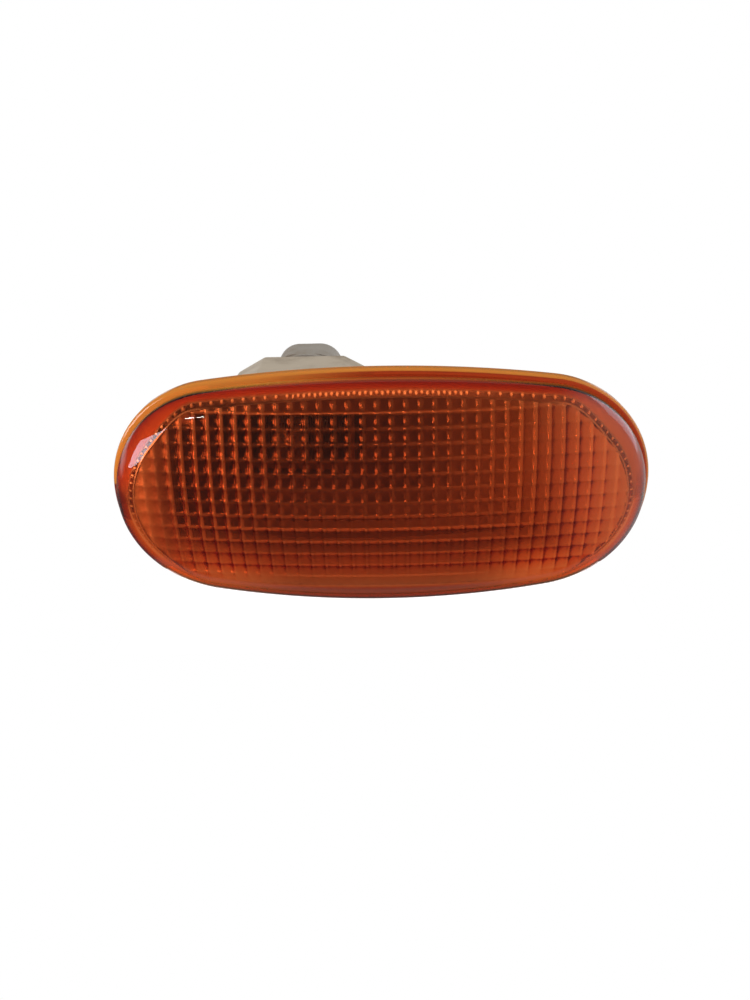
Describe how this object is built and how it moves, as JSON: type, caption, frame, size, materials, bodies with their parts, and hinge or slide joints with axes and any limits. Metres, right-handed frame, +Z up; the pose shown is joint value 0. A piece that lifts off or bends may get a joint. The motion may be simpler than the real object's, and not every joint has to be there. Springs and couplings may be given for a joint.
{
  "type": "side repeater lamp",
  "caption": "Oval side repeater lamp with a domed amber lens, a pillow optic inside it, a clip-in moulded housing and a twist-in bulb holder with a connector socket.",
  "frame": {"origin": "middle of the seat plane, where the back of the lens rim meets the car's panel", "axes": "+X along the lamp towards its spring tongue, +Y back into the car, +Z up; the lens faces -Y"},
  "size_m": [0.096, 0.0572, 0.0442],
  "materials": {
    "amber_lens": "clear amber moulding, polished",
    "housing_plastic": "off-white moulding, satin",
    "holder_plastic": "grey moulding, matt",
    "seal_rubber": "matt black",
    "contact_brass": "stamped strip",
    "bulb_glass": "clear",
    "bulb_wire": "drawn wire",
    "bulb_filament": "dark drawn wire"
  },
  "bodies": {
    "lamp": {"lens": "amber_lens", "housing": "housing_plastic"},
    "holder": {"bulb_holder": "holder_plastic", "holder_seal": "seal_rubber", "contact_upper": "contact_brass", "contact_lower": "contact_brass", "bulb_glass": "bulb_glass", "bulb_wires": "bulb_wire", "bulb_filament": "bulb_filament"}
  },
  "joints": [
    {"name": "holder_turn", "type": "hinge", "parent": "lamp", "child": "holder", "pos_m": [-0.0158, 0.03, 0.007], "axis": [0, 1, 0], "range_deg": [0, 30]}
  ]
}
